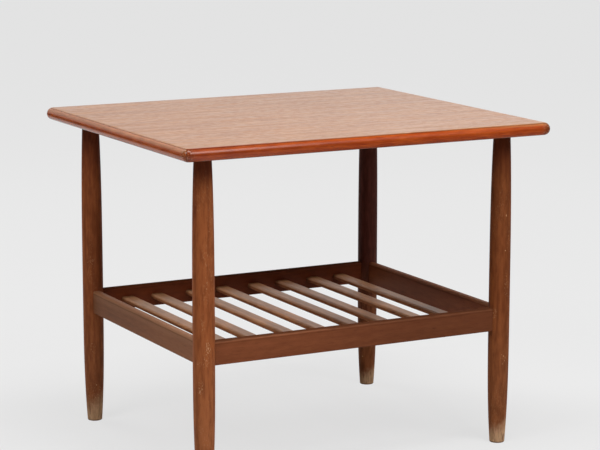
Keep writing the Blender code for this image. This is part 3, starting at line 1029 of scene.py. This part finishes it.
FLOOR_SIZE = 60.0
PAPER_SHADE = 0.135
BOUNCE_UNDER_TABLE = 0.3
BOUNCE_OUTSIDE = 0.48
OUTSIDE_FROM = 0.27
OUTSIDE_TO = 0.55
PAPER_HALF_WIDTH = 1.35
PAPER_FADE = 0.5
GLOW_UNDER_TABLE = 0.655
GLOW_BEHIND_TABLE = 0.05
BEHIND_TABLE_TO = 0.35
GLOW_FAR = 0.045
FAR_FROM = 0.5
FAR_TO = 2.5

BACKGROUND = 0.805
BACKDROP = 0.88
BACKDROP_SIDE_FROM = math.radians(53.5)
BACKDROP_SIDE_TO = math.radians(49.5)
BACKDROP_TOP_FROM = math.radians(32)
BACKDROP_TOP_TO = math.radians(23)
LIT_RIGHT = 0.31
LIT_RIGHT_FROM = -0.14
LIT_RIGHT_TO = 0.12
LIT_LOW = 0.12
LIT_LOW_FROM = 0.27
LIT_LOW_TO = 0.16
RIGHT_HAND_WALL = 0.2
WALL_FROM = 0.2
WALL_TO = 0.8
ROOM = 0.015
LAMPS_AIM = Vector((0, 0, 0.3))


def build_camera():
    forward = Vector((math.sin(CAMERA_YAW) * math.cos(CAMERA_PITCH),
                      math.cos(CAMERA_YAW) * math.cos(CAMERA_PITCH),
                      -math.sin(CAMERA_PITCH)))
    level = Vector((math.cos(CAMERA_YAW), -math.sin(CAMERA_YAW), 0))
    down = forward.cross(level)
    right = level * math.cos(CAMERA_ROLL) + down * math.sin(CAMERA_ROLL)
    up = level * math.sin(CAMERA_ROLL) - down * math.cos(CAMERA_ROLL)
    lens = bpy.data.cameras.new("portrait camera")
    lens.sensor_fit = "HORIZONTAL"
    lens.sensor_width = SENSOR
    lens.lens = FOCAL_PIXELS / PICTURE_WIDTH * SENSOR
    camera = bpy.data.objects.new("portrait camera", lens)
    bpy.context.scene.collection.objects.link(camera)
    turn = Matrix((right, up, -forward)).transposed()
    camera.matrix_world = Matrix.Translation(CAMERA_PLACE) @ turn.to_4x4()
    bpy.context.scene.camera = camera


def softbox(name, azimuth, elevation, distance, width, height, power):
    """A rectangular lamp aimed at the table. Azimuth 0 is in front and 90 to the right, in degrees."""
    turn = math.radians(azimuth)
    rise = math.radians(elevation)
    toward = Vector((math.sin(turn) * math.cos(rise), -math.cos(turn) * math.cos(rise), math.sin(rise)))
    lamp = bpy.data.lights.new(name, "AREA")
    lamp.shape = "RECTANGLE"
    lamp.size = width
    lamp.size_y = height
    lamp.energy = power
    item = bpy.data.objects.new(name, lamp)
    bpy.context.scene.collection.objects.link(item)
    item.rotation_mode = "QUATERNION"
    item.rotation_quaternion = toward.to_track_quat("Z", "Y")
    item.location = LAMPS_AIM + toward * distance


def build_floor():
    """A sheet of pale paper. It shows its own glow to the camera and in reflections, and keeps the
    shadows."""
    shape = bmesh.new()
    bmesh.ops.create_grid(shape, x_segments=1, y_segments=1, size=FLOOR_SIZE / 2)
    mesh = bpy.data.meshes.new("floor")
    shape.to_mesh(mesh)
    shape.free()
    material = bpy.data.materials.new("paper sweep")
    material.use_nodes = True
    sheet = Sheet(material.node_tree)
    material.node_tree.nodes.remove(material.node_tree.nodes["Principled BSDF"])
    away = sheet.along(X) * math.sin(CAMERA_YAW) + sheet.along(Y) * math.cos(CAMERA_YAW)
    aside = sheet.along(X) * math.cos(CAMERA_YAW) - sheet.along(Y) * math.sin(CAMERA_YAW)
    distance = sheet.node("VectorMath", {"operation": "LENGTH"}, {0: sheet.place()}, output="Value")
    level = GLOW_UNDER_TABLE + GLOW_BEHIND_TABLE * sheet.fade(away, 0.0, BEHIND_TABLE_TO)
    level = level + GLOW_FAR * sheet.fade(distance, FAR_FROM, FAR_TO)
    shiny = sheet.node("LightPath", output="Is Glossy Ray")
    off_paper = sheet.fade(abs(aside), PAPER_HALF_WIDTH, PAPER_HALF_WIDTH + PAPER_FADE)
    glow = sheet.node("Emission", values={"Color": level * (1 - shiny * off_paper)})
    paper = sheet.node("BsdfDiffuse", values={"Color": (PAPER_SHADE, PAPER_SHADE, PAPER_SHADE, 1)})
    shown = sheet.node("AddShader", values={0: paper, 1: glow})
    outside = sheet.fade(distance, OUTSIDE_FROM, OUTSIDE_TO)
    returned = BOUNCE_UNDER_TABLE + (BOUNCE_OUTSIDE - BOUNCE_UNDER_TABLE) * outside
    matt = {"Roughness": 1.0, "Specular IOR Level": 0.0}
    bounce = sheet.node("BsdfPrincipled", values={"Base Color": returned, **matt})
    camera = sheet.node("LightPath", output="Is Camera Ray")
    clear = sheet.node("LightPath", output="Is Transmission Ray")
    seen = (camera + shiny + clear).at_most(1.0)
    either = sheet.node("MixShader", values={0: seen, 1: bounce, 2: shown})
    out = material.node_tree.nodes["Material Output"]
    material.node_tree.links.new(either.socket, out.inputs["Surface"])
    mesh.materials.append(material)
    floor = bpy.data.objects.new("floor", mesh)
    bpy.context.scene.collection.objects.link(floor)


def build_world():
    """A lit backdrop behind the table, a dim wall to its right, and a dark room around."""
    world = bpy.data.worlds.new("studio")
    bpy.context.scene.world = world
    world.use_nodes = True
    sheet = Sheet(world.node_tree)
    look = sheet.node("TexCoord", output="Generated")
    east = sheet.node("SeparateXYZ", values={"Vector": look}, output=X)
    north = sheet.node("SeparateXYZ", values={"Vector": look}, output=Y)
    rise = sheet.node("SeparateXYZ", values={"Vector": look}, output=Z)
    facing = east * math.sin(CAMERA_YAW) + north * math.cos(CAMERA_YAW)
    behind = sheet.fade(facing, math.cos(BACKDROP_SIDE_FROM), math.cos(BACKDROP_SIDE_TO))
    below = sheet.fade(rise, math.sin(BACKDROP_TOP_FROM), math.sin(BACKDROP_TOP_TO))
    rightward = east * math.cos(CAMERA_YAW) - north * math.sin(CAMERA_YAW)
    lit = 1 + LIT_RIGHT * sheet.fade(rightward, LIT_RIGHT_FROM, LIT_RIGHT_TO)
    lit = lit + LIT_LOW * sheet.fade(rise, LIT_LOW_FROM, LIT_LOW_TO)
    beside = sheet.fade(east, WALL_FROM, WALL_TO)
    studio = BACKDROP * behind * below * lit + RIGHT_HAND_WALL * beside * (1 - behind) + ROOM
    camera = sheet.node("LightPath", output="Is Camera Ray")
    shown = sheet.node("Mix", {"data_type": "FLOAT"}, {0: camera, 2: studio, 3: BACKGROUND})
    backdrop = world.node_tree.nodes["Background"]
    world.node_tree.links.new(shown.socket, backdrop.inputs["Color"])


def build_studio():
    bpy.context.scene.view_settings.view_transform = "Standard"
    build_camera()
    build_floor()
    build_world()
    softbox("front softbox", azimuth=18, elevation=41, distance=2.2, width=1.3, height=1.1, power=27)
    softbox("high softbox", azimuth=-10, elevation=75, distance=2.4, width=1.0, height=1.1, power=38)
    softbox("back softbox", azimuth=205, elevation=46, distance=2.4, width=0.8, height=0.8, power=9)
    softbox("side softbox", azimuth=-70, elevation=43, distance=2.2, width=0.8, height=0.8, power=19)


build_studio()
build_top()
build_legs()
build_shelf()
finish_hidden_solids()
